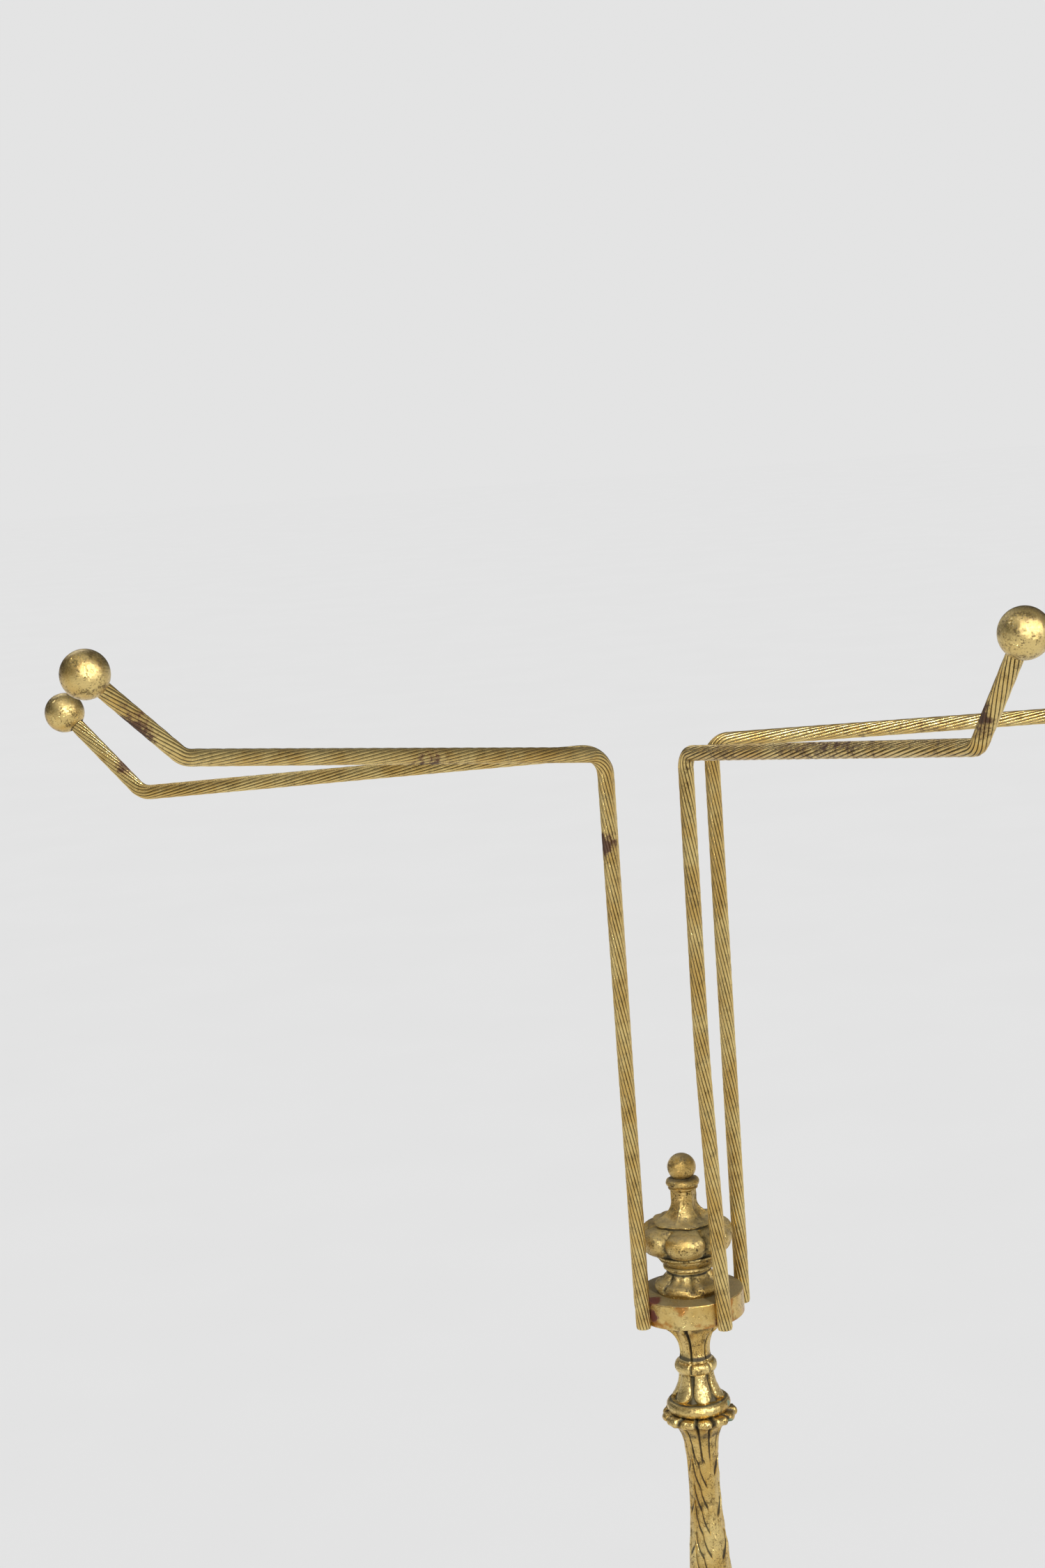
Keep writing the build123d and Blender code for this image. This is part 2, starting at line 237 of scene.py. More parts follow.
def outline_points(outline, step):
    """Points (radius, height) along lines and arcs given as (radius, height, sagitta)."""
    points = []
    for (r0, z0, _), (r1, z1, sagitta) in zip(outline, outline[1:]):
        start, end = np.array([r0, z0]), np.array([r1, z1])
        chord = np.linalg.norm(end - start)
        count = max(2, int(math.ceil(chord / step)))
        t = np.arange(count) / count
        if sagitta:
            radius = (chord**2 / 4 + sagitta**2) / (2 * sagitta)
            half = math.asin(max(-1.0, min(1.0, chord / 2 / radius)))
            along, outward = (end - start) / chord, np.array([z1 - z0, r0 - r1]) / chord
            angle = (2 * t - 1) * half
            middle = (start + end) / 2 - outward * (radius - sagitta)
            part = middle + radius * (np.outer(np.sin(angle), along) + np.outer(np.cos(angle), outward))
        else:
            part = start + np.outer(t, end - start)
        points.extend(part)
    points.append(outline[-1][:2])
    return np.array(points, float)


THINNEST_WALL = 0.2  # metal left round a bore where the relief is deep


def lathe(
    name, outline, base, body, material, node, relief, bore=0.0, step=0.5, columns=288,
    centre=(0.0, 0.0),
):
    """Turned casting that stands at height base. relief(angle, height) gives a displacement along the normal
    and a recess value. bore is the radius of the hole through it, and 0 closes it."""
    line = outline_points(outline, step)
    tangent = np.gradient(line, axis=0)
    tangent /= np.linalg.norm(tangent, axis=1)[:, None] + 1e-9
    normal = np.stack([tangent[:, 1], -tangent[:, 0]], axis=1)
    theta = np.arange(columns) * 360.0 / columns
    angle, height = np.meshgrid(theta, line[:, 1])
    # recess: how much painted shade, with some grimy patina, the colour gets in grooves, hollows and joints
    shift, recess = relief(angle, height)
    rad = np.radians(angle)
    turned = np.stack([line[:, :1] * np.cos(rad), line[:, :1] * np.sin(rad), height + base], axis=-1)
    top = 0.6 * SKIN_DEPTH
    shift = shift + np.minimum(cast_skin(turned, SKIN_DEPTH, len(name)), top) - top
    radius = np.maximum(line[:, :1] + shift * normal[:, :1], bore + THINNEST_WALL)
    z = line[:, 1:] + shift * normal[:, 1:]
    if bore:
        ends = np.array([[bore, line[-1, 1]], [bore, line[0, 1]]])
        radius = np.vstack([radius, np.repeat(ends[:, :1], columns, axis=1)])
        z = np.vstack([z, np.repeat(ends[:, 1:], columns, axis=1)])
        # the bore's walls get the full painted shade
        recess = np.vstack([recess, np.ones((2, columns))])
        rad = np.vstack([rad, rad[:2]])
    rings = np.stack([radius * np.cos(rad) + centre[0], radius * np.sin(rad) + centre[1], z + base], axis=-1)
    if bore:
        points, faces = rings.reshape(-1, 3), grid_faces(len(rings), columns, close_rows=True)
        values = recess.ravel()
    else:
        points, faces = capped_tube(rings)
        values = np.append(recess.ravel(), [recess[0].mean(), recess[-1].mean()])
    return add_piece(name, points, faces, body, material, node, recess=values)


# ---------- materials ----------
MIX_COLOUR_A, MIX_COLOUR_B, MIX_COLOUR_OUT = 6, 7, 2  # sockets of a mix node that mixes colours


class Nodes:
    """Shorthand for building a material's node tree."""

    def __init__(self, name):
        self.material = bpy.data.materials.new(name)
        self.material.use_nodes = True
        self.tree = self.material.node_tree
        self.shader = self.tree.nodes["Principled BSDF"]
        self.place = self.add("ShaderNodeTexCoord").outputs["Object"]

    def add(self, kind, **settings):
        node = self.tree.nodes.new(kind)
        for key, value in settings.items():
            if key in node.inputs:
                self.feed(node.inputs[key], value)
            else:
                setattr(node, key, value)
        return node

    def feed(self, socket, value):
        if isinstance(value, bpy.types.NodeSocket):
            self.tree.links.new(value, socket)
        else:
            socket.default_value = value

    def noise(self, scale, detail, rough=0.6):
        node = self.add("ShaderNodeTexNoise", Vector=self.place, Scale=scale, Detail=detail, Roughness=rough)
        return node.outputs["Fac"]

    def math(self, operation, a, b, clamp=False):
        node = self.add("ShaderNodeMath", operation=operation, use_clamp=clamp)
        self.feed(node.inputs[0], a)
        self.feed(node.inputs[1], b)
        return node.outputs[0]

    def plus(self, a, b):
        return self.math("ADD", a, b)

    def times(self, a, b):
        return self.math("MULTIPLY", a, b)

    def step(self, value, low, high, to_low=0.0, to_high=1.0):
        node = self.add("ShaderNodeMapRange", interpolation_type="SMOOTHSTEP", Value=value)
        for key, end in (("From Min", low), ("From Max", high), ("To Min", to_low), ("To Max", to_high)):
            node.inputs[key].default_value = end
        return node.outputs["Result"]

    def mix(self, factor, a, b):
        node = self.add("ShaderNodeMix", data_type="RGBA")
        self.feed(node.inputs["Factor"], factor)
        self.feed(node.inputs[MIX_COLOUR_A], a)
        self.feed(node.inputs[MIX_COLOUR_B], b)
        return node.outputs[MIX_COLOUR_OUT]

    def attribute(self, name):
        return self.add("ShaderNodeAttribute", attribute_name=name).outputs["Fac"]

    def up(self):
        normal = self.add("ShaderNodeNewGeometry").outputs["Normal"]
        return self.add("ShaderNodeSeparateXYZ", Vector=normal).outputs["Z"]

    def bump(self, height, strength, distance):
        node = self.add("ShaderNodeBump", Height=height, Strength=strength, Distance=distance)
        self.feed(self.shader.inputs["Normal"], node.outputs["Normal"])


def rgb(r, g, b):
    """Colour from display values 0 to 255."""
    return tuple(((c / 255) ** 2.2) for c in (r, g, b)) + (1.0,)


BRIGHT_GOLD = rgb(232, 205, 136)
WARM_GOLD = rgb(212, 176, 102)
DULL_GOLD = rgb(136, 114, 66)
AMBER = rgb(176, 112, 48)
BROWN = rgb(70, 49, 25)
# dark colour of the recesses: painted shade with some grime in it
GRIME_AND_SHADE = rgb(44, 33, 16)
PATINA = rgb(72, 66, 42)
DUST = rgb(134, 122, 90)
SOOT = rgb(90, 74, 42)
RUST = rgb(84, 52, 30)
VERDIGRIS = rgb(104, 118, 98)
WINE = rgb(92, 48, 40)
PALE_STEEL = rgb(120, 118, 112)
DARK_STEEL = rgb(88, 78, 66)
GRAIN_DEPTH = 0.0004  # metres


def gilt(
    name, mottle, pits, grime_and_shade, rough, dust=0.0, warm=0.0, grain=1300.0, relief=0.5, uneven=0.9, spots=(),
):
    """Worn gilding on brass: mottled gold, dark pits, painted shade in the recesses, dust on top and local
    spots.

    mottle, pits, the recess darkening (painted shade with some grimy patina), dust and warm (amber lacquer
    that is left) are strengths. rough is the roughness of clean and of worn metal, grain the scale of the
    flecks, relief the strength of the bump, and uneven how patchy the recess darkening is. Each spot is
    (place in millimetres, radius in millimetres, colour).
    """
    n = Nodes(name)

    def patchy(value, share):
        return n.plus(value, n.times(n.math("SUBTRACT", patch, 0.5), share))

    # gold, worn duller in patches
    cloud = n.noise(48.0, 5.0, 0.65)
    patch = n.noise(210.0, 6.0, 0.72)
    fleck = n.noise(grain, 6.0, 0.75)
    colour = n.mix(n.step(cloud, 0.36, 0.64), WARM_GOLD, BRIGHT_GOLD)
    speckled_patch = n.plus(patch, n.times(fleck, 0.5))
    worn = n.times(n.step(speckled_patch, 0.74, 0.92), mottle)
    colour = n.mix(worn, colour, DULL_GOLD)
    if warm:
        lacquer = n.times(n.step(n.noise(85.0, 4.0, 0.6), 0.5, 0.62), warm)
        colour = n.mix(lacquer, colour, AMBER)
    # pits, and painted shade with grimy patina in the recesses
    pit = n.times(n.step(n.plus(fleck, n.times(patch, 0.35)), 0.74, 0.80), pits)
    colour = n.mix(pit, colour, BROWN)
    depth = patchy(n.attribute("recess"), uneven)
    # painted shade: the recess value darkens grooves, hollows and joints, with some grimy patina
    recess_grime_and_shade = n.math("MULTIPLY", n.step(depth, 0.22, 0.72), grime_and_shade, clamp=True)
    colour = n.mix(recess_grime_and_shade, colour, n.mix(n.step(cloud, 0.42, 0.62), GRIME_AND_SHADE, PATINA))
    soil_and_shade = n.math("MAXIMUM", recess_grime_and_shade, pit)
    # rust and brown stains, and on one arm painted shade, where the mesh says so; dust on what faces up;
    # spots
    stain_and_shade = n.step(patchy(n.attribute("stain_and_shade"), 1.6), 0.35, 0.75)
    colour = n.mix(stain_and_shade, colour, n.mix(n.step(fleck, 0.42, 0.6), BROWN, RUST))
    soil_and_shade = n.math("MAXIMUM", soil_and_shade, n.times(stain_and_shade, 0.9))
    if dust:
        film = n.times(n.step(patchy(n.up(), 1.5), 0.3, 1.0), dust)
        pale = n.step(n.plus(fleck, n.times(patch, 0.5)), 0.62, 0.9)
        colour = n.mix(film, colour, n.mix(pale, SOOT, DUST))
        soil_and_shade = n.math("MAXIMUM", soil_and_shade, film)
    for place, radius, tint in spots:
        reach = n.add("ShaderNodeVectorMath", operation="DISTANCE")
        n.feed(reach.inputs[0], n.place)
        reach.inputs[1].default_value = [c * MM for c in place]
        size = radius * MM
        there = n.step(patchy(reach.outputs["Value"], size * 2.2), size * 0.55, size, 1.0, 0.0)
        colour = n.mix(there, colour, tint)
        soil_and_shade = n.math("MAXIMUM", soil_and_shade, there)
    # whatever soils the metal, and the painted shade, also dulls it
    n.feed(n.shader.inputs["Base Color"], colour)
    n.feed(n.shader.inputs["Metallic"], n.step(soil_and_shade, 0.0, 1.0, 1.0, 0.1))
    gloss = n.step(n.plus(n.times(worn, 0.5), fleck), 0.3, 0.95, rough[0], rough[1])
    n.feed(n.shader.inputs["Roughness"], n.plus(gloss, n.times(soil_and_shade, 0.35)))
    n.bump(n.math("SUBTRACT", fleck, n.times(pit, 0.8)), relief, GRAIN_DEPTH)
    return n.material


def steel(name):
    """Plain dull steel of the hidden hardware."""
    n = Nodes(name)
    grain = n.noise(700.0, 5.0)
    n.feed(n.shader.inputs["Base Color"], n.mix(n.step(grain, 0.4, 0.65), PALE_STEEL, DARK_STEEL))
    n.shader.inputs["Metallic"].default_value = 0.9
    n.feed(n.shader.inputs["Roughness"], n.step(grain, 0.3, 0.7, 0.35, 0.6))
    n.bump(grain, 0.2, 0.0003)
    return n.material


def paper(name, colour, rough):
    """Matt floor without a sheen."""
    n = Nodes(name)
    tone = n.noise(3.0, 2.0)
    darker = tuple(c * 0.99 for c in colour[:3]) + (1.0,)
    n.feed(n.shader.inputs["Base Color"], n.mix(n.step(tone, 0.3, 0.7), colour, darker))
    n.shader.inputs["Roughness"].default_value = rough
    n.shader.inputs["Specular IOR Level"].default_value = 0.0
    return n.material


# Dried residue and green salts, as (place, radius, colour).
ROOT_RESIDUE = [
    ((-18.5, -21.5, 793.0), 4.5, WINE), ((-18.5, -17.0, 800.0), 6.5, WINE),
    ((17.0, -24.0, 790.0), 3.5, WINE),
]
COPPER_SALTS = [
    ((14.0, -8.0, 744.0), 4.0, VERDIGRIS), ((17.5, -4.0, 738.0), 3.0, VERDIGRIS),
    ((17.0, -9.0, 729.0), 3.0, VERDIGRIS),
]
CAST = gilt(
    "cast_gilt", mottle=0.8, pits=0.9, grime_and_shade=0.97, rough=(0.16, 0.38), relief=0.6, spots=COPPER_SALTS,
)
BASE = gilt("base_gilt", mottle=0.85, pits=0.9, grime_and_shade=0.97, rough=(0.18, 0.4), dust=0.45, relief=0.6)
FINIAL = gilt(
    "finial_gilt", mottle=0.95, pits=1.0, grime_and_shade=0.97, rough=(0.14, 0.34), dust=0.75, grain=1000.0, relief=1.0,
)
ROPE = gilt(
    "rope_gilt", mottle=0.4, pits=0.55, grime_and_shade=1.0, rough=(0.11, 0.24), grain=1900.0, relief=0.25, uneven=0.5,
)
BALL = gilt("ball_gilt", mottle=0.9, pits=0.95, grime_and_shade=0.9, rough=(0.12, 0.24), relief=0.6)
DISC = gilt(
    "disc_gilt", mottle=0.6, pits=0.35, grime_and_shade=0.8, rough=(0.1, 0.24), dust=0.97, warm=0.8, spots=ROOT_RESIDUE,
)
STEEL = steel("dull_steel")


# ---------- rods ----------
def arm_corners(arm):
    """Foot, half height, upper corner, outer corner and ball centre of one rod."""
    foot = heading(arm["foot"], 0) * ROD_FOOT_R + np.array([0, 0, HUB_TOP - HUB_THICK - ROD_FOOT_DROP])
    lean = np.array([*arm["lean"], HUB_TOP + UPRIGHT_RISE + arm["lift"] - foot[2]])
    top = foot + lean
    middle = foot + lean * 0.5 + np.array([*arm["bow"], 0])
    elbow = top + heading(arm["run"], arm["rise"]) * ARM_RUN
    ball = elbow + heading(arm["tip_run"], arm["tip_rise"]) * TIP_RUN
    return foot, middle, top, elbow, ball


def rounded_path(corners, radii, step):
    """Evenly spaced points along straight runs joined by tangent arcs."""
    points, start = [], corners[0]
    for before, corner, after, radius in zip(corners, corners[1:], corners[2:], radii):
        a = (before - corner) / np.linalg.norm(before - corner)
        b = (after - corner) / np.linalg.norm(after - corner)
        half = math.acos(np.clip(a @ b, -1, 1)) / 2
        reach = radius / math.tan(half)
        centre = corner + (a + b) / np.linalg.norm(a + b) * radius / math.sin(half)
        enter, leave = corner + a * reach, corner + b * reach
        points.append(np.array([start, enter]))
        sweep = math.pi - 2 * half
        u, v = (enter - centre) / radius, -a
        t = np.linspace(0, sweep, max(3, int(sweep * radius / step * 2)))[1:-1]
        points.append(centre + radius * (np.outer(np.cos(t), u) + np.outer(np.sin(t), v)))
        start = leave
    points.append(np.array([start, corners[-1]]))
    line = np.vstack(points)
    length = np.append(0, np.cumsum(np.linalg.norm(np.diff(line, axis=0), axis=1)))
    even = np.linspace(0, length[-1], int(length[-1] / step))
    return np.stack([np.interp(even, length, line[:, k]) for k in range(3)], axis=1), even


def carried_frames(line):
    """Two cross directions at each point, carried along the line without twist."""
    tangent = np.gradient(line, axis=0)
    tangent /= np.linalg.norm(tangent, axis=1)[:, None]
    side = np.cross(tangent[0], [0, 1, 0])
    sides = []
    for t in tangent:
        side = side - t * (side @ t)
        side /= np.linalg.norm(side)
        sides.append(side)
    sides = np.array(sides)
    return sides, np.cross(tangent, sides)


def rope_rod(name, arm, seed):
    """Rod twisted from strands, left-handed, with painted shade in the grooves between them, a few stained
    spots and, on one arm, long stretches of painted shade.
    """
    foot, middle, top, elbow, ball = arm_corners(arm)
    end = ball - (ball - elbow) / TIP_RUN * (BALL_R - BALL_SOCKET)
    corners, radii = [foot, top, elbow, end], [*arm["bends"]]
    if any(arm["bow"]):
        corners.insert(1, middle)
        radii.insert(0, BOW_R)
    line, along = rounded_path(corners, radii, ROPE_STEP)
    u, v = carried_frames(line)
    columns = STRANDS * STRAND_SAMPLES
    phi = np.arange(columns) * 2 * math.pi / columns
    turn = phi[None, :] - 2 * math.pi * along[:, None] / TWIST_LEAD
    within = np.abs(around(np.degrees(phi), 360.0 / STRANDS)) / (180.0 / STRANDS)
    half_width = ROD_R * math.pi / STRANDS
    groove = STRAND_R - np.sqrt(STRAND_R**2 - (half_width * within) ** 2)
    length = np.broadcast_to(along[:, None], turn.shape)
    wear = np.stack([np.cos(turn) * ROD_R, np.sin(turn) * ROD_R, length], axis=-1)
    deepness = 0.85 + 0.3 * lumps(wear, 9.0, seed)
    radius = ROD_R - ROPE_INSET - groove[None, :] * deepness + 0.03 * lumps(wear, 1.6, 4)
    from_end = np.minimum(along, along[-1] - along)[:, None]
    radius = radius * (0.93 + 0.07 * np.clip(from_end / END_TRIM, 0, 1))
    outward = np.cos(turn)[..., None] * u[:, None, :] + np.sin(turn)[..., None] * v[:, None, :]
    points, faces = capped_tube(line[:, None, :] + radius[..., None] * outward)
    # painted shade: each groove between strands gets a recess value that darkens it towards its floor
    recess = np.broadcast_to((0.95 * within**2.6)[None, :], turn.shape)
    stain_and_shade = np.zeros(turn.shape)
    for at, size, strength in arm["stains_and_shade"]:
        one_sided = 0.75 + 0.25 * np.cos(turn + at)
        stain_and_shade = np.maximum(stain_and_shade, strength * bell(along[:, None] - at, size) * one_sided)
    add_piece(
        f"rope_{name}", points, faces, "head", ROPE, f"arm_rod_{name}",
        recess=np.append(recess.ravel(), [0.5, 0.5]), stain_and_shade=np.append(stain_and_shade.ravel(), [0, 0]),
    )


def ball_end(name, arm, seed):
    """Ball with a countersunk socket and the small dents of use."""
    _, _, _, elbow, ball = arm_corners(arm)
    axis = (ball - elbow) / TIP_RUN
    side = np.cross(axis, [0, 0, 1.0])
    side /= np.linalg.norm(side)
    other = np.cross(axis, side)
    rows, columns = 96, 144
    mouth = math.asin((ROD_R + MOUTH_PLAY) / BALL_R)
    around_rod = np.arange(columns) * 2 * math.pi / columns
    polar, phi = np.meshgrid(np.linspace(mouth, math.pi - 0.004, rows), around_rod, indexing="ij")
    rng = np.random.default_rng(seed)
    direction = np.stack([np.sin(polar) * np.cos(phi), np.sin(polar) * np.sin(phi), -np.cos(polar)], axis=-1)
    radius = np.full(polar.shape, BALL_R - ROPE_INSET)
    # painted shade: a dark ring round the socket's mouth where the rod goes in, and a dark socket; the dents
    # get some too
    recess = 0.9 * bell(polar - mouth, 0.07)
    for _ in range(DENTS):
        spot = rng.normal(size=3)
        spot /= np.linalg.norm(spot)
        gap = np.degrees(np.arccos(np.clip(direction @ spot, -1, 1)))
        size = rng.uniform(2.0, 6.0)
        dent = bell(gap, size)
        radius -= rng.uniform(0.02, 0.09) * dent
        recess = np.maximum(recess, rng.uniform(0.0, 0.5) * dent)
    socket_r, socket_end = ROD_R + SOCKET_PLAY, np.full(columns, BALL_SOCKET - BALL_R)
    socket = np.stack([socket_r * np.cos(around_rod), socket_r * np.sin(around_rod), socket_end], axis=-1)
    shape = np.concatenate([socket[None], radius[..., None] * direction])
    recess = np.vstack([np.ones((1, columns)), recess])
    points, faces = capped_tube(shape @ np.array([side, other, axis]) + ball)
    add_piece(
        f"ball_{name}", points, faces, "head", BALL, f"ball_tip_{name}",
        recess=np.append(recess.ravel(), [1.0, 0.0]),
    )


for count, (place, arm) in enumerate(ARMS.items()):
    rope_rod(place, arm, len(f"rope_{place}"))
    ball_end(place, arm, DENT_SEED + count)


# ---------- castings of the stem ----------
def parting(angle, height, tall):
    """Thin uneven ridge left by the two halves of the mould."""
    wander = 1.2 * np.sin(height * 0.35) + 0.8 * np.sin(height * 0.9 + 1)
    gap = around(angle - PARTING_AT - wander, 180.0)
    return tall * bell(gap, 1.6) * (0.7 + 0.3 * np.sin(height * 2.1))


PETALS_TALL, PETAL_GROUND = 14.4, -2.3  # the ground lies between the petals
PETAL_HALF, PETAL_BELLY = 29.0, 0.35  # half width in degrees, and how far up it is reached
REELS_FROM, REELS_TO = 14.2, 20.8
CUP_FROM, CUP_WAIST = 21.0, 39.0


def capital_relief(angle, height):
    """Six round-ended petals, a ring of six reels and a cup of six hollow panels between ribs."""
    off, edge = lobe_lines(angle, PETAL_AT, LEAF_PITCH)
    up = np.clip((height - 0.5) / 13.2, 0, 1)
    rounded = PETAL_HALF * np.sqrt(np.clip(1 - (1 - up / PETAL_BELLY) ** 2, 0.001, 1))
    width = np.where(up < PETAL_BELLY, rounded, PETAL_HALF - 4.5 * (up - PETAL_BELLY) / (1 - PETAL_BELLY))
    inside = ramp(1.0, 0.82, np.abs(off) / width)
    zone = band(height, 0.0, 0.6, PETALS_TALL - 0.8, PETALS_TALL)
    petal = PETAL_GROUND + inside * (1.0 + 1.5 * round_back(off / width))
    second_row = PETAL_GROUND + bell(edge, 7.0) * ramp(5.5, 2.5, height) * 1.2
    shift = zone * np.maximum(petal, second_row)
    recess = 0.85 * zone * (1 - inside)
    ring = band(height, REELS_FROM, REELS_FROM + 0.6, REELS_TO - 0.6, REELS_TO)
    shift = shift + ring * (0.25 - 1.2 * bell(edge, 3.4))
    recess = np.maximum(recess, ring * bell(edge, 3.0))
    cup = ramp(CUP_FROM, CUP_FROM + 1.5, height)
    groove = bell(edge - 1.0, 3.0)
    hollow = ramp(1.0, 0.72, np.abs(off) / 21.0) * ramp(CUP_FROM + 1.0, CUP_FROM + 5.0, height)
    shift = shift + cup * (-1.6 * groove - hollow * (0.6 + 1.6 * bell(height - CUP_WAIST, 4.5)))
    shift = shift - 1.8 * bell(edge, 5.0) * ramp(36.0, 43.0, height)
    # painted shade: rib grooves, a dark band where the cup rises from the reels, and the hollow under the
    # cup's flare
    dark = np.maximum(groove, 0.95 * bell(height - 22.3, 1.9))
    recess = np.maximum(recess, cup * np.maximum(dark, 0.62 * hollow * bell(height - 39.5, 3.2)))
    return shift + parting(angle, height, 0.45), recess


NECK_RING_TALL = 7.6


def neck_ring_relief(angle, height):
    """Smooth torus with a seam and worn unevenness."""
    # painted shade where the torus meets the pieces above and below it
    seat = np.maximum(bell(height, 1.0), bell(height - NECK_RING_TALL, 1.0))
    return parting(angle, height, 0.35) - 0.1, 0.8 * seat


STEM_TALL = 173.2
LIP_LOBE_AT = 284.5  # middle of one of the twelve lobes of the lip
BROAD_LEAF_AT = 291.5  # middle of one of the three smooth leaves of the shaft
BROAD_LEAF_PITCH = 120.0
LEAF_TIER = 13.0  # height between the tips of overlapping side leaves
LIP_TALL = 15.0
SHAFT_FROM, SHAFT_TO = 18.0, 163.0  # below the stem's top
LEFT_LEAF_WIDE, RIGHT_LEAF_WIDE = 27.0, 34.0  # degrees


def overlapping(lane, down, tier, reach):
    """Side leaves laid like tiles; lane runs from 0 to 1 across a leaf. Gives a rise and a groove value."""
    tile = ((down - reach * np.sqrt(np.clip(lane, 0, 1))) / tier) % 1.0
    return (1 - tile) ** 1.5, ramp(0.72, 0.97, tile)


def upper_stem_relief(angle, height):
    """Lobed lip over a shaft of three smooth leaves, with side leaves that overlap down its flanks."""
    down = STEM_TALL - height
    lobe_edge = lobe_lines(angle, LIP_LOBE_AT, GADROON_PITCH)[1]
    lip = ramp(LIP_TALL, 6.0, down)
    bend = 0.12 * np.clip(down - 8.0, 0, None) ** 1.3
    flute_edge = lobe_lines(angle - bend, LIP_LOBE_AT, GADROON_PITCH)[1]
    flute = ramp(34.0, 20.0, down) * bell(flute_edge, 3.2)
    uneven = 0.35 * lip * np.sin(angle * 0.21) * np.sin(angle * 0.13)
    shift = lip * (0.5 * bell(down - 3.5, 2.5) - 1.7 * bell(lobe_edge, 3.6)) - 0.9 * flute
    shift = shift - 0.3 * bell(down - 12.0, 3.5) * (1 - bell(flute_edge, 5.0)) + uneven
    # painted shade in the lip's grooves and flutes, and a dark band in the hollow under the curled lip
    recess = np.maximum(np.maximum(lip * bell(lobe_edge, 4.2), flute), 0.5 * bell(down - 11.0, 3.0))
    off, leaf_edge = around(angle - BROAD_LEAF_AT, BROAD_LEAF_PITCH), BROAD_LEAF_PITCH / 2
    shaft = band(down, SHAFT_FROM, SHAFT_FROM + 12.0, SHAFT_TO - 6.0, SHAFT_TO)
    left, left_groove = overlapping(((off + leaf_edge) / LEFT_LEAF_WIDE) % 1.0, down, LEAF_TIER, 15.0)
    right, right_groove = overlapping((leaf_edge - off) / RIGHT_LEAF_WIDE, down, 1.8 * LEAF_TIER, 12.0)
    on_left, on_right = ramp(-3.0, -12.0, off), ramp(24.0, 32.0, off)
    bulk = 0.8 + 0.6 * ramp(80.0, 120.0, down)
    shift = shift + shaft * bulk * (on_left * (left - 0.9) + on_right * (right - 0.9))
    recess = np.maximum(recess, shaft * np.maximum(on_left * left_groove, on_right * right_groove))
    crease = bell(off - 27.0, 1.6) * ramp(40.0, 60.0, down)
    vein = bell(off - 7.0 + 0.04 * down, 1.8) * ramp(92.0, 104.0, down)
    shift = shift - shaft * (0.5 * crease + 0.9 * vein)
    recess = np.maximum(recess, shaft * np.maximum(0.6 * crease, 0.9 * vein))
    return shift + parting(angle, height, 0.25), np.clip(recess, 0, 1)


LEAVES_FROM, LEAVES_TO = 14.0, 150.0
FLUTES_FROM, FLUTES_TO, FLUTE_HALF = 164.0, 262.0, 11.0  # heights, and half a flute's width in degrees


def lower_stem_relief(angle, height):
    """Leafy baluster below, straight flutes above."""
    off = around(angle - PETAL_AT, LEAF_PITCH)
    leafy = band(height, LEAVES_FROM, LEAVES_FROM + 10.0, LEAVES_TO - 12.0, LEAVES_TO)
    up = np.clip((height - 16.0) / 124.0, 0, 1)
    width = 27.0 * np.sin(np.pi * (0.12 + 0.84 * up)) + 2.0
    inside = ramp(1.0, 0.85, np.abs(off) / width)
    rib = bell(off, 2.5) * 0.6
    veins = 0.3 * np.abs(np.sin(np.radians(np.abs(off) * 8.0 + height * 9.0)))
    shift = leafy * (inside * (1.1 + rib - veins) - 0.9)
    recess = leafy * np.maximum(1 - inside, veins * 1.6 * inside)
    fluted = band(height, FLUTES_FROM, FLUTES_FROM + 6.0, FLUTES_TO - 6.0, FLUTES_TO)
    flute = around(angle, GADROON_PITCH)
    shift = shift - fluted * 0.9 * np.clip(1 - (flute / FLUTE_HALF) ** 2, 0, 1)
    recess = np.maximum(recess, fluted * 0.8 * bell(flute, 9.0))
    return shift + parting(angle, height, 0.2), recess


def knop_relief(angle, height, tall):
    """Knop with slanting gadroons."""
    belt = band(height, 5.0, 8.0, tall - 8.0, tall - 5.0)
    off, edge = lobe_lines(angle + (height - tall / 2) * 1.5, 0.0, KNOP_PITCH)
    return -belt * 1.1 * (1 - round_back(off / (KNOP_PITCH / 2))), belt * bell(edge, 2.2)


def gadroon(off, pitch):
    """How far a gadroon falls away from its crest: 0 along the crest and 1 at its edge."""
    return (np.abs(off) / (pitch / 2)) ** 3


def dome_relief(angle, height):
    """Broad gadroons on the bell of the base."""
    belt = band(height, 8.5, 11.0, 28.0, 31.0)
    off, edge = lobe_lines(angle, 0.0, GADROON_PITCH)
    return belt * (0.4 - 1.5 * gadroon(off, GADROON_PITCH)), belt * bell(edge, 2.6)


BLOCK_FLAT = 34.0  # distance of a flat face from the axis
BLOCK_CORNER = BLOCK_FLAT / math.cos(math.radians(30))
BLOCK_TALL = 80.0
PANEL_HALF_WIDE, PANEL_HALF_TALL, PANEL_DEPTH = 14.5, 27.0, 1.6
ROSETTE_R, ROSETTE_PETALS = 9.5, 8


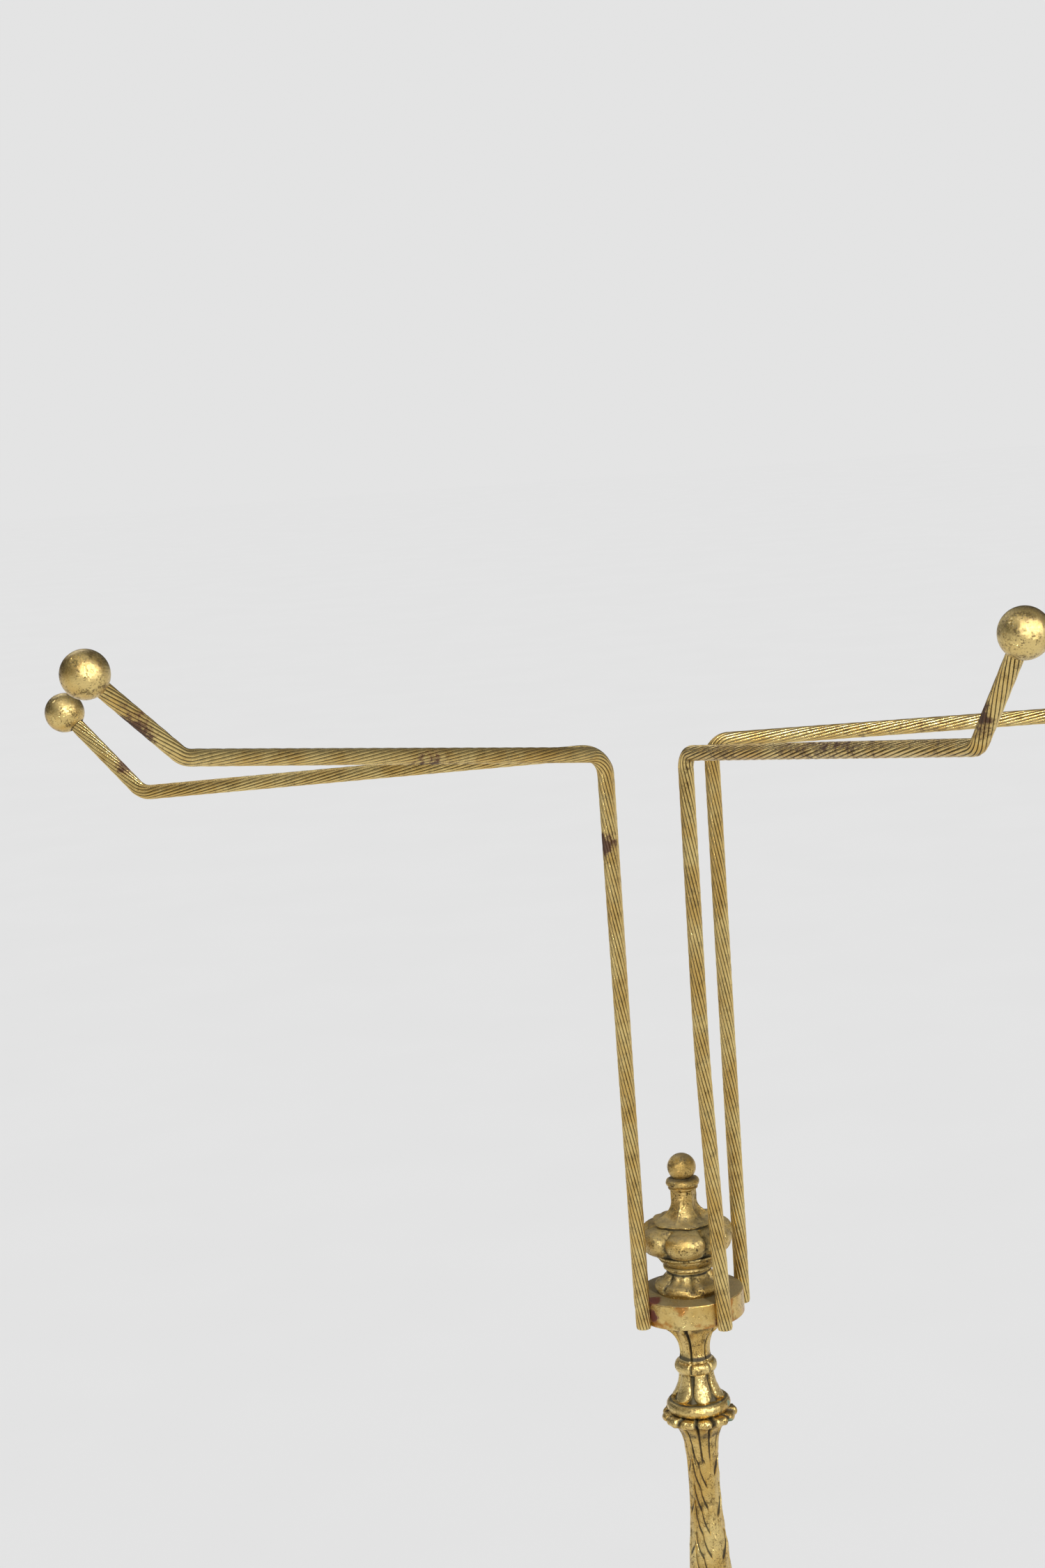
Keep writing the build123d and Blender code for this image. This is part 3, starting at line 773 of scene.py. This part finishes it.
def block_relief(angle, height):
    """Six flat faces with a sunk panel and a rosette on each, between two mouldings."""
    off = around(angle - LEAF_PITCH / 2, LEAF_PITCH)
    across = BLOCK_FLAT * np.tan(np.radians(off))
    flat = BLOCK_FLAT / np.cos(np.radians(off)) - BLOCK_CORNER
    up = height - BLOCK_TALL / 2
    inside_width = ramp(PANEL_HALF_WIDE, PANEL_HALF_WIDE - 1.2, np.abs(across))
    panel = inside_width * ramp(PANEL_HALF_TALL, PANEL_HALF_TALL - 1.2, np.abs(up))
    upright_bead = bell(np.abs(across) - 11.6, 0.8) * ramp(25.0, 24.0, np.abs(up))
    level_bead = bell(np.abs(up) - 23.2, 0.8) * ramp(12.4, 11.6, np.abs(across))
    away = np.hypot(across, up)
    petals = 0.5 + 0.5 * np.cos(ROSETTE_PETALS * np.arctan2(up, across))
    flower = 0.7 + petals * bell(away - 5.5, 2.4)
    rosette = ramp(ROSETTE_R, ROSETTE_R - 1.5, away) * flower + 1.4 * bell(away, 2.2)
    groove = bell(np.abs(up) - 31.0, 1.0)
    moulding = -1.2 * ramp(33.0, 36.0, np.abs(up)) * bell(np.abs(up) - 40.0, 3.0)
    bead = np.clip(upright_bead + level_bead, 0, 1)
    shift = flat - PANEL_DEPTH * panel + panel * (0.8 * bead + rosette) - 0.9 * groove + moulding
    wall = bell(np.abs(across) - 14.0, 1.2) * ramp(28.0, 26.0, np.abs(up))
    recess = np.maximum(np.maximum(groove, wall), panel * (0.55 - 0.6 * ramp(0.4, 1.2, rosette)))
    return shift, np.clip(recess, 0, 1)


def pendant_relief(angle, height):
    """Gadrooned drop with a small bud at the tip."""
    belt = band(height, 11.0, 14.0, 29.0, 32.0)
    off, edge = lobe_lines(angle + height, 0.0, GADROON_PITCH)
    bud = band(height, 1.0, 2.5, 7.5, 9.5)
    bud_off, bud_edge = lobe_lines(angle, 0.0, BUD_PITCH)
    shift = -belt * 1.6 * gadroon(off, GADROON_PITCH) - bud * 0.6 * (bud_off / (BUD_PITCH / 2)) ** 2
    return shift, np.maximum(belt * bell(edge, 2.4), bud * 0.6 * bell(bud_edge, 4.0))


def bun_relief(angle, height):
    """Shallow gadroons round a foot."""
    belt = band(height, 1.5, 4.0, 10.5, 12.6)
    off, edge = lobe_lines(angle, 0.0, GADROON_PITCH)
    return -belt * 0.9 * gadroon(off, GADROON_PITCH), belt * bell(edge, 2.8)


# Outlines from the bottom up, as (radius, height, sagitta of the arc that leads there).
UPPER_STEM_OUTLINE = [
    (14.0, 0.0, 0), (14.0, 5.0, 1.4), (10.5, 9.0, 0), (10.5, 14.0, 0), (17.0, 46.0, 1.5),
    (10.5, 97.0, -1.2), (8.4, 126.6, -0.4), (8.4, 142.0, 0), (9.1, 153.0, -0.2), (11.4, 162.0, -0.5),
    (14.6, 167.4, -0.4), (18.8, 169.6, -0.3), (18.6, STEM_TALL, 0.8),
]
NECK_RING_OUTLINE = [(13.8, 0.0, 0), (13.8, NECK_RING_TALL, 3.3)]
CAPITAL_OUTLINE = [
    (14.4, 0.0, 0), (9.2, 14.2, -1.2), (9.2, 20.6, 1.8), (8.6, 21.4, 0), (13.5, 38.0, -2.4),
    (17.4, 43.0, 0.6), (17.4, 46.1, 0),
]
UPPER_KNOP_TALL = 30.0
UPPER_KNOP_OUTLINE = [
    (14.5, 0.0, 0), (14.5, 4.0, 1.2), (12.5, 6.0, 0), (12.5, 24.0, 9.4), (14.5, 26.0, 0),
    (14.5, UPPER_KNOP_TALL, 1.2),
]
LOWER_STEM_OUTLINE = [
    (15.0, 0.0, 0), (12.5, 14.0, -2.0), (23.0, 62.0, -5.0), (19.0, 112.0, 5.5), (11.5, 150.0, -3.2),
    (15.5, 153.0, 0), (15.5, 159.0, 1.6), (11.0, 162.0, 0), (9.2, 262.0, 0), (15.0, 286.0, -4.0),
    (15.0, 290.0, 1.0),
]
LOWER_KNOP_TALL = 26.0
LOWER_KNOP_OUTLINE = [
    (16.5, 0.0, 0), (16.5, 4.0, 1.0), (15.0, 6.0, 0), (15.0, 20.0, 8.2), (16.5, 22.0, 0),
    (16.5, LOWER_KNOP_TALL, 1.0),
]
DOME_OUTLINE = [
    (40.0, 0.0, 0), (40.0, 6.0, 1.4), (35.0, 9.0, 0), (19.0, 30.0, -5.5), (19.0, 34.0, 1.2), (15.5, 37.0, 0),
    (15.5, 46.0, 0),
]
PENDANT_OUTLINE = [
    (0.6, 0.0, 0), (3.0, 0.2, 0.3), (7.5, 6.5, 1.8), (5.5, 11.0, -0.8), (17.0, 22.0, -2.0), (20.0, 32.0, 2.6),
    (24.0, 33.5, 0), (24.0, 38.0, 0.8),
]
BLOCK_OUTLINE = [(BLOCK_CORNER, 0.0, 0), (BLOCK_CORNER, BLOCK_TALL, 0)]
BUN_TALL = 16.0
BUN_OUTLINE = [(8.0, 0.0, 0), (8.0, 13.0, 4.6), (6.5, 13.0, 0), (6.5, BUN_TALL, 0)]


def bottom_of(node):
    """Height of a CAD node's lowest point, in millimetres."""
    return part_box(node)[0].z / MM


# Castings round the tie rod, as (node, outline, relief, size of a step up, points round).
STACK = [
    ("capital", CAPITAL_OUTLINE, capital_relief, 0.3, 432),
    ("neck_ring", NECK_RING_OUTLINE, neck_ring_relief, 0.25, 288),
    ("upper_stem", UPPER_STEM_OUTLINE, upper_stem_relief, 0.4, 432),
    ("upper_knop", UPPER_KNOP_OUTLINE, lambda a, h: knop_relief(a, h, UPPER_KNOP_TALL), 0.4, 288),
    ("lower_stem", LOWER_STEM_OUTLINE, lower_stem_relief, 0.5, 360),
    ("lower_knop", LOWER_KNOP_OUTLINE, lambda a, h: knop_relief(a, h, LOWER_KNOP_TALL), 0.4, 288),
]
for node, outline, relief, step, columns in STACK:
    lathe(
        f"cast_{node}", outline, bottom_of(node), "stand", CAST, node, relief, bore=TIE_BORE_R,
        step=step, columns=columns,
    )


# ---------- base ----------
BLOCK_LOW = bottom_of("base_block")
LEG_AZIMUTHS = [90.0, 210.0, 330.0]
LEG_HALF = 10.0  # half of a leg's thickness
LEG_REACH = 271.0
TOE_R = 15.0
TOE_PAD_R = 8.0
SCROLL_R = 13.0
SCROLL_TURNS = 1.6
# Points of a leg's side view, as (distance from the stand's axis, height).
LEG_SCROLL_AT = (52.0, 112.0)
LEG_UPPER_EDGE = [(34.0, 160.0), (66.0, 168.0), (118.0, 146.0), (184.0, 88.0), (238.0, 53.0), (275.0, 45.5)]
LEG_LOWER_EDGE = [
    (34.0, 108.0), (60.0, 110.0), (82.0, 131.0), (116.0, 116.0), (166.0, 79.0), (224.0, 41.0), (262.0, 19.0),
]
LEG_SKIN_SEED = 21
LEG_RIM_AT = 0.72  # share of the way from a leg's middle line to its edge
KNEE_LEAF_END = 0.5  # share of the leg's length that the leaf covers
SCROLL_EYE = 0.3  # radius of a scroll's eye, as a share of the scroll's


def smooth_curve(corners, count):
    """Evenly spaced points of a curve through given points."""
    p = np.array(corners)
    p = np.vstack([2 * p[0] - p[1], p, 2 * p[-1] - p[-2]])
    t = np.linspace(0, 1, 40, endpoint=False)[:, None]
    runs = []
    for a, b, c, d in zip(p, p[1:], p[2:], p[3:]):
        square, cube = 2 * a - 5 * b + 4 * c - d, 3 * b - a - 3 * c + d
        runs.append(0.5 * (2 * b + (c - a) * t + square * t**2 + cube * t**3))
    line = np.vstack([*runs, p[-2]])
    length = np.append(0, np.cumsum(np.linalg.norm(np.diff(line, axis=0), axis=1)))
    even = np.linspace(0, length[-1], count)
    return np.stack([np.interp(even, length, line[:, k]) for k in range(2)], axis=1)


def leg_web(rows=260, columns=96):
    """Curved body of a leg, with raised rims, a ribbed leaf over the knee and a fluted shin."""
    upper, lower = smooth_curve(LEG_UPPER_EDGE, rows), smooth_curve(LEG_LOWER_EDGE, rows)
    along = np.linspace(0, 1, rows)[:, None]
    phi = (np.arange(columns) * 2 * math.pi / columns)[None, :]
    rise, side = np.cos(phi), np.sin(phi)
    middle, half = (upper + lower) / 2, np.linalg.norm(upper - lower, axis=1)[:, None] / 2
    out = (upper - lower) / (2 * half)
    rim = bell(np.abs(rise) - LEG_RIM_AT, 0.07)
    field = ramp(LEG_RIM_AT - 0.06, LEG_RIM_AT - 0.17, np.abs(rise))
    leaf = band(along, 0.02, 0.08, 0.36, KNEE_LEAF_END)
    fold = np.abs(np.sin(28.0 * along + 2.6 * np.abs(rise)))
    sunk = field * (0.9 + leaf * (0.9 - 1.6 * fold)) + 0.7 * rim
    crown = ramp(0.7, 0.95, rise)
    ridge = crown * leaf * np.abs(np.sin(34.0 * along + 3.0 * np.abs(side)))
    wide = LEG_HALF * (1.0 - 0.24 * bell(along - 0.55, 0.28) - 0.06)
    y = np.sign(side) * np.abs(side) ** 0.6 * wide - np.sign(side) * sunk * np.abs(side)
    tall = (half - 0.25) * np.sign(rise) * np.abs(rise) ** 0.85 - 0.9 * ridge * np.sign(rise)
    rings = np.stack([middle[:, :1] + tall * out[:, :1], y, middle[:, 1:] + tall * out[:, 1:]], axis=-1)
    points, faces = capped_tube(rings)
    between_ridges = 0.8 * crown * leaf * bell(ridge, 0.25)
    recess = np.clip(np.maximum(rim, field * leaf * (1 - fold)) + between_ridges, 0, 1)
    points = points + cast_skin(points, SKIN_DEPTH, LEG_SKIN_SEED)[:, None] * [0, 1, 0]
    return points, faces, np.append(recess.ravel(), [1, 1])


def scroll(place, radius):
    """Rolled end seen from the side: a spiral groove round an eye on both faces."""
    columns = 120
    spread = np.linspace(0.02, 0.93, 44) * radius
    out = np.append(spread, [radius * 0.97, radius, radius])
    rho = np.concatenate([out, out[-2::-1]])[:, None]
    face = np.append(np.full(len(spread), LEG_HALF), [LEG_HALF - 0.6, LEG_HALF - 1.6, 0.0])
    depth = np.concatenate([face, -face[-2::-1]])[:, None]
    phi = (np.arange(columns) * 360.0 / columns)[None, :]
    share = rho / radius
    winding = (share * SCROLL_TURNS - phi / 360.0) % 1.0
    groove = bell(np.minimum(winding, 1 - winding), 0.16) * band(share, SCROLL_EYE, 0.36, 0.9, 0.97)
    moat = bell(share - SCROLL_EYE, 0.05)
    flat = (np.abs(depth) > LEG_HALF - 0.5).astype(float)
    y = depth - np.sign(depth) * flat * (1.6 * groove + 1.4 * moat)
    angle = np.radians(phi)
    rings = np.stack([place[0] + rho * np.cos(angle), y, place[1] + rho * np.sin(angle)], axis=-1)
    points, faces = capped_tube(rings)
    recess = np.clip(flat * np.maximum(groove, moat), 0, 1)
    return points, faces, np.append(recess.ravel(), [0, 0])


def toe_pad():
    """Short stem between the toe and its foot."""
    rows, columns = 20, 72
    phi = np.arange(columns) * 2 * math.pi / columns
    heights = np.broadcast_to(np.linspace(BUN_TALL, BUN_TALL + TOE_R, rows)[:, None], (rows, columns))
    radius = TOE_PAD_R - 1.2 * bell(heights - BUN_TALL - 1.8, 0.7)
    rings = np.stack([LEG_REACH + radius * np.cos(phi), radius * np.sin(phi), heights], axis=-1)
    points, faces = capped_tube(rings)
    # painted shade over the whole short stem, tucked under the toe's scroll
    return points, faces, np.full(len(points), 0.3)


for count, azimuth in enumerate(LEG_AZIMUTHS, start=1):
    points, faces, recess = joined([
        leg_web(), scroll((LEG_REACH, BUN_TALL + TOE_R), TOE_R), scroll(LEG_SCROLL_AT, SCROLL_R), toe_pad(),
    ])
    turn = np.array(Matrix.Rotation(math.radians(azimuth), 3, "Z"))
    node = f"leg_{count}"
    add_piece(f"cast_{node}", points @ turn.T, faces, "stand", BASE, node, recess=recess)
    node = f"bun_foot_{count}"
    lathe(
        f"cast_{node}", BUN_OUTLINE, 0.0, "stand", BASE, node, bun_relief,
        columns=180, centre=heading(azimuth, 0)[:2] * LEG_REACH,
    )
for node, outline, base, relief, bore, step, columns in (
    ("base_dome", DOME_OUTLINE, BLOCK_LOW + BLOCK_TALL, dome_relief, TIE_BORE_R, 0.5, 360),
    ("pendant", PENDANT_OUTLINE, bottom_of("pendant"), pendant_relief, 0.0, 0.4, 288),
    ("base_block", BLOCK_OUTLINE, BLOCK_LOW, block_relief, TIE_BORE_R, 0.5, 480),
):
    lathe(
        f"cast_{node}", outline, base, "stand", BASE, node, relief, bore=bore,
        step=step, columns=columns,
    )


# ---------- finial ----------
FOOT_BULGE, MELON_VALLEY = 3.9, 5.6  # rise of a foot petal, depth of a valley of the melon
NECK_FLAT, PLATE_SCALLOP = 8.5, 1.2


def finial_foot_relief(angle, height):
    """Bell of six bulging petals."""
    off, edge = lobe_lines(angle, FOOT_VALLEY_AT + LEAF_PITCH / 2, LEAF_PITCH)
    zone = band(height, 1.0, 2.6, 10.0, 11.6)
    dimple = 0.8 * bell(off, 6.0) * bell(height - 8.0, 2.2)
    shift = zone * (-3.4 + FOOT_BULGE * round_back(off / 30.5) - dimple)
    recess = 0.6 * zone * bell(edge, 8.0)
    return shift, np.maximum(recess, 0.8 * bell(height - 10.8, 1.0))


def finial_bowl_relief(angle, height):
    """Melon of six fat lobes above two rings."""
    off, edge = lobe_lines(angle, MELON_VALLEY_AT + LEAF_PITCH / 2, LEAF_PITCH)
    zone = band(height, 6.4, 8.0, 21.0, 23.4)
    shift = -zone * MELON_VALLEY * (1 - round_back(off / 30.6))
    return shift, np.maximum(0.55 * zone * bell(edge, 6.5), 0.7 * bell(height - 6.9, 0.8))


def finial_cap_relief(angle, height):
    """Lobed plate, six-sided waisted neck, collar and ball."""
    off, edge = lobe_lines(angle, NECK_EDGE_AT + LEAF_PITCH / 2, LEAF_PITCH)
    neck = band(height, 3.0, 6.5, 18.6, 19.8)
    flat = 1 - math.cos(math.radians(LEAF_PITCH / 2)) / np.cos(np.radians(off))
    plate = band(height, 1.7, 2.1, 3.8, 5.2)
    scallop = (1 - np.cos(np.radians(6 * off))) / 2
    shift = -neck * NECK_FLAT * flat * (1 + 0.8 * bell(height - 6.0, 3.0)) - plate * PLATE_SCALLOP * scallop
    edges = 0.7 * neck * bell(edge, 1.5) * bell(height - 10.0, 6.0)
    # painted shade where the cap sits on the bowl and where the ball meets the collar
    seats = np.maximum(0.9 * bell(height - 1.2, 0.9), 0.8 * bell(height - 25.4, 0.6))
    return shift, np.maximum(edges, seats)


FINIAL_FOOT_OUTLINE = [
    (17.2, 0.0, 0), (17.6, 1.2, 0), (16.2, 6.0, 1.1), (11.6, 10.2, -0.9), (11.6, 11.8, 0), (12.8, 12.4, 0),
    (12.8, 14.5, 0.7),
]
FINIAL_BOWL_OUTLINE = [
    (12.0, 0.0, 0), (15.6, 3.6, 0.4), (15.0, 4.2, 0), (16.4, 4.8, 0), (16.4, 6.6, 0.7), (15.9, 7.0, 0),
    (25.2, 13.2, 2.2), (19.4, 21.4, 2.8), (15.0, 22.4, 0),
]
FINIAL_CAP_OUTLINE = [
    (15.0, 0.0, 0), (15.0, 1.7, 0), (17.2, 2.1, 0), (17.2, 3.8, 0.5), (15.4, 4.4, 0), (9.4, 7.9, -0.6),
    (6.9, 14.5, -0.9), (6.9, 19.0, 0), (7.5, 19.6, 0), (7.5, 20.8, 0.4), (7.9, 21.2, 0), (7.9, 24.8, 1.0),
    (5.0, 25.5, 0), (0.3, 38.2, 4.7),
]
for node, outline, relief, bore in (
    ("finial_foot", FINIAL_FOOT_OUTLINE, finial_foot_relief, FINIAL_BORE_R),
    ("finial_bowl", FINIAL_BOWL_OUTLINE, finial_bowl_relief, FINIAL_BORE_R),
    ("finial_cap", FINIAL_CAP_OUTLINE, finial_cap_relief, 0.0),
):
    lathe(
        f"cast_{node}", outline, bottom_of(node), "finial", FINIAL, node, relief, bore=bore,
        step=0.25,
    )


# ---------- plain CAD nodes get their finish ----------
for node, material in (
    ("hub_disc", DISC), ("tie_rod", STEEL), ("tie_nut", STEEL), ("tie_washer", STEEL), ("leg_screws", STEEL),
):
    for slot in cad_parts[node].material_slots:
        slot.material = material


# ---------- studio ----------
# Places in this section are in metres.
BACKDROP = 0.775  # brightness of the surroundings to the eye
EVEN_GLOW = 0.9  # and to dull surfaces
FLOOR_TONE = 0.86
FLOOR_SIZE = 60
HEAD_HEIGHT = 0.95  # the soft boxes aim at the stand's head
WINDOW_SIDE = (0.6, -0.8, 0.0)  # the room is brightest this way
CAMERA_PLACE = (0.1517, -1.3316, 1.2806)
CAMERA_TURN, CAMERA_DIP, CAMERA_ROLL = 9.35, 8.754, -4.604
CAMERA_LENS, CAMERA_SENSOR = 60.99, 36.0
# Name, place, power in watts and side of each soft box.
SOFT_BOXES = [
    ("key", (1.7, -2.5, 2.4), 92.0, 0.4),
    ("overhead", (-0.6, -0.8, 3.2), 5.0, 1.2),
    ("rear", (-1.6, 2.6, 2.6), 8.0, 1.0),
]


def studio_world():
    """Pale surroundings for the eye, an even glow for dull surfaces, and for gloss a dim room that is lighter
    above and on one side."""
    world = bpy.data.worlds.new("world")
    bpy.context.scene.world = world
    world.use_nodes = True
    world.cycles.sampling_method = "NONE"
    tree = world.node_tree
    sky = tree.nodes["Background"]
    path = tree.nodes.new("ShaderNodeLightPath")
    where = tree.nodes.new("ShaderNodeTexCoord").outputs["Generated"]
    parts = []
    for toward, low, high, dim, bright in (
        (WINDOW_SIDE, -0.4, 0.95, 0.03, 0.46),
        ((0.0, 0.0, 1.0), 0.0, 1.0, 0.0, 0.2),
    ):
        facing = tree.nodes.new("ShaderNodeVectorMath")
        facing.operation = "DOT_PRODUCT"
        tree.links.new(where, facing.inputs[0])
        facing.inputs[1].default_value = toward
        node = tree.nodes.new("ShaderNodeMapRange")
        tree.links.new(facing.outputs["Value"], node.inputs["Value"])
        for key, value in (("From Min", low), ("From Max", high), ("To Min", dim), ("To Max", bright)):
            node.inputs[key].default_value = value
        parts.append(node.outputs["Result"])
    room = tree.nodes.new("ShaderNodeMath")
    tree.links.new(parts[0], room.inputs[0])
    tree.links.new(parts[1], room.inputs[1])
    last = None
    for ray, value in (("Is Diffuse Ray", EVEN_GLOW), ("Is Camera Ray", BACKDROP)):
        pick = tree.nodes.new("ShaderNodeMix")
        tree.links.new(path.outputs[ray], pick.inputs["Factor"])
        tree.links.new(last or room.outputs[0], pick.inputs["A"])
        pick.inputs["B"].default_value = value
        last = pick.outputs["Result"]
    tree.links.new(last, sky.inputs["Strength"])
    sky.inputs["Color"].default_value = (1.0, 1.0, 1.0, 1.0)


def studio():
    """Pale floor and soft boxes."""
    bpy.ops.mesh.primitive_plane_add(size=FLOOR_SIZE, location=(0, 0, 0))
    floor = bpy.context.object
    floor.name = "floor"
    floor.data.materials.append(paper("pale_floor", (FLOOR_TONE, FLOOR_TONE, FLOOR_TONE, 1.0), 1.0))
    unlit = bpy.data.collections.new("lit_by_the_sky_alone")
    unlit.objects.link(floor)
    unlit.collection_objects[0].light_linking.link_state = "EXCLUDE"
    for name, place, power, size in SOFT_BOXES:
        light = bpy.data.lights.new(name, "AREA")
        light.energy = power
        light.size = size
        lamp = bpy.data.objects.new(name, light)
        bpy.context.scene.collection.objects.link(lamp)
        lamp.location = place
        lamp.light_linking.receiver_collection = unlit
        aim = Vector((0, 0, HEAD_HEIGHT)) - Vector(place)
        lamp.rotation_euler = aim.to_track_quat("-Z", "Y").to_euler()


def photographers_camera():
    """Camera at the photograph's place, with its slight roll."""
    data = bpy.data.cameras.new("camera")
    data.lens = CAMERA_LENS
    data.sensor_width = CAMERA_SENSOR
    camera = bpy.data.objects.new("camera", data)
    bpy.context.scene.collection.objects.link(camera)
    turn = Matrix.Rotation(math.radians(CAMERA_TURN), 4, "Z")
    dip = Matrix.Rotation(math.radians(90 - CAMERA_DIP), 4, "X")
    roll = Matrix.Rotation(math.radians(CAMERA_ROLL), 4, "Z")
    camera.matrix_world = Matrix.Translation(CAMERA_PLACE) @ turn @ dip @ roll
    bpy.context.scene.camera = camera


studio_world()
studio()
photographers_camera()
bpy.context.scene.view_settings.view_transform = "Standard"
